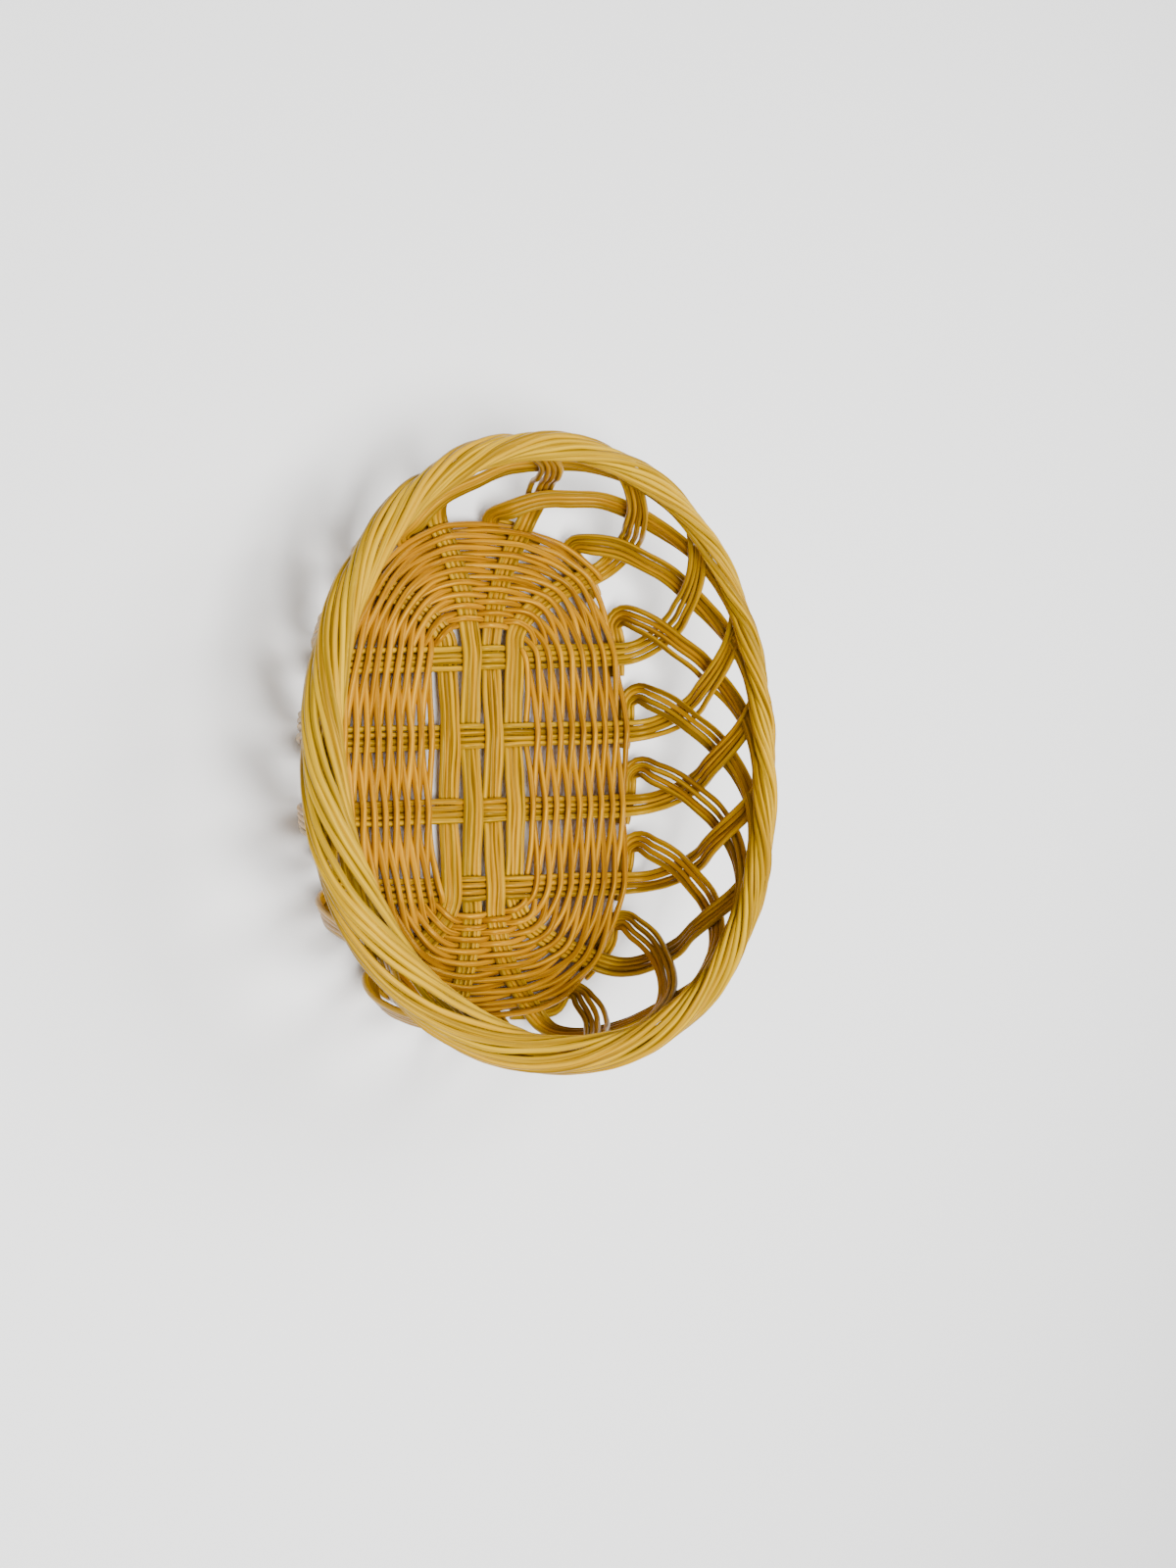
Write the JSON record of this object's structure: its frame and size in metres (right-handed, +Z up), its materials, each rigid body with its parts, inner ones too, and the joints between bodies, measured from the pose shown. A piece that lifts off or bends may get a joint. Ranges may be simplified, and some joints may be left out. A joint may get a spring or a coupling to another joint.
{
  "type": "easter basket",
  "caption": "Low oval open-work basket of varnished willow bundles, with a check-woven centre, a twined floor, a crossed lattice wall and a twisted rope rim.",
  "frame": {"origin": "bottom centre of the whole basket, on the surface that it stands on", "axes": "+X along the oval, towards its higher end; +Y across it, +Z up"},
  "size_m": [0.2759, 0.2336, 0.0949],
  "materials": {
    "frame_reed": "glossy yellow varnish over peeled rod, fine lengthwise grain",
    "weaver_reed": "glossy orange-yellow varnish over thin peeled rod",
    "rim_reed": "glossy pale yellow varnish over peeled rod, fine lengthwise grain"
  },
  "bodies": {
    "root": {"cross_bundle_1": "frame_reed", "cross_bundle_2": "frame_reed", "cross_bundle_3": "frame_reed", "cross_bundle_4": "frame_reed", "long_bundle_1": "frame_reed", "long_bundle_2": "frame_reed", "long_bundle_3": "frame_reed", "long_bundle_4": "frame_reed", "weaver_1": "weaver_reed", "weaver_2": "weaver_reed", "riser_01": "frame_reed", "riser_02": "frame_reed", "riser_03": "frame_reed", "riser_04": "frame_reed", "riser_05": "frame_reed", "riser_06": "frame_reed", "riser_07": "frame_reed", "riser_08": "frame_reed", "riser_09": "frame_reed", "riser_10": "frame_reed", "riser_11": "frame_reed", "riser_12": "frame_reed", "riser_13": "frame_reed", "riser_14": "frame_reed", "riser_15": "frame_reed", "riser_16": "frame_reed", "return_01": "frame_reed", "return_02": "frame_reed", "return_03": "frame_reed", "return_04": "frame_reed", "return_05": "frame_reed", "return_06": "frame_reed", "return_07": "frame_reed", "return_08": "frame_reed", "return_09": "frame_reed", "return_10": "frame_reed", "return_11": "frame_reed", "return_12": "frame_reed", "return_13": "frame_reed", "return_14": "frame_reed", "return_15": "frame_reed", "return_16": "frame_reed", "rim_strand_01": "rim_reed", "rim_strand_02": "rim_reed", "rim_strand_03": "rim_reed", "rim_strand_04": "rim_reed", "rim_strand_05": "rim_reed", "rim_strand_06": "rim_reed", "rim_strand_07": "rim_reed", "rim_strand_08": "rim_reed", "rim_strand_09": "rim_reed", "rim_strand_10": "rim_reed", "rim_strand_11": "rim_reed", "rim_strand_12": "rim_reed", "rim_strand_13": "rim_reed", "rim_strand_14": "rim_reed", "rim_strand_15": "rim_reed", "rim_strand_16": "rim_reed"}
  },
  "joints": []
}
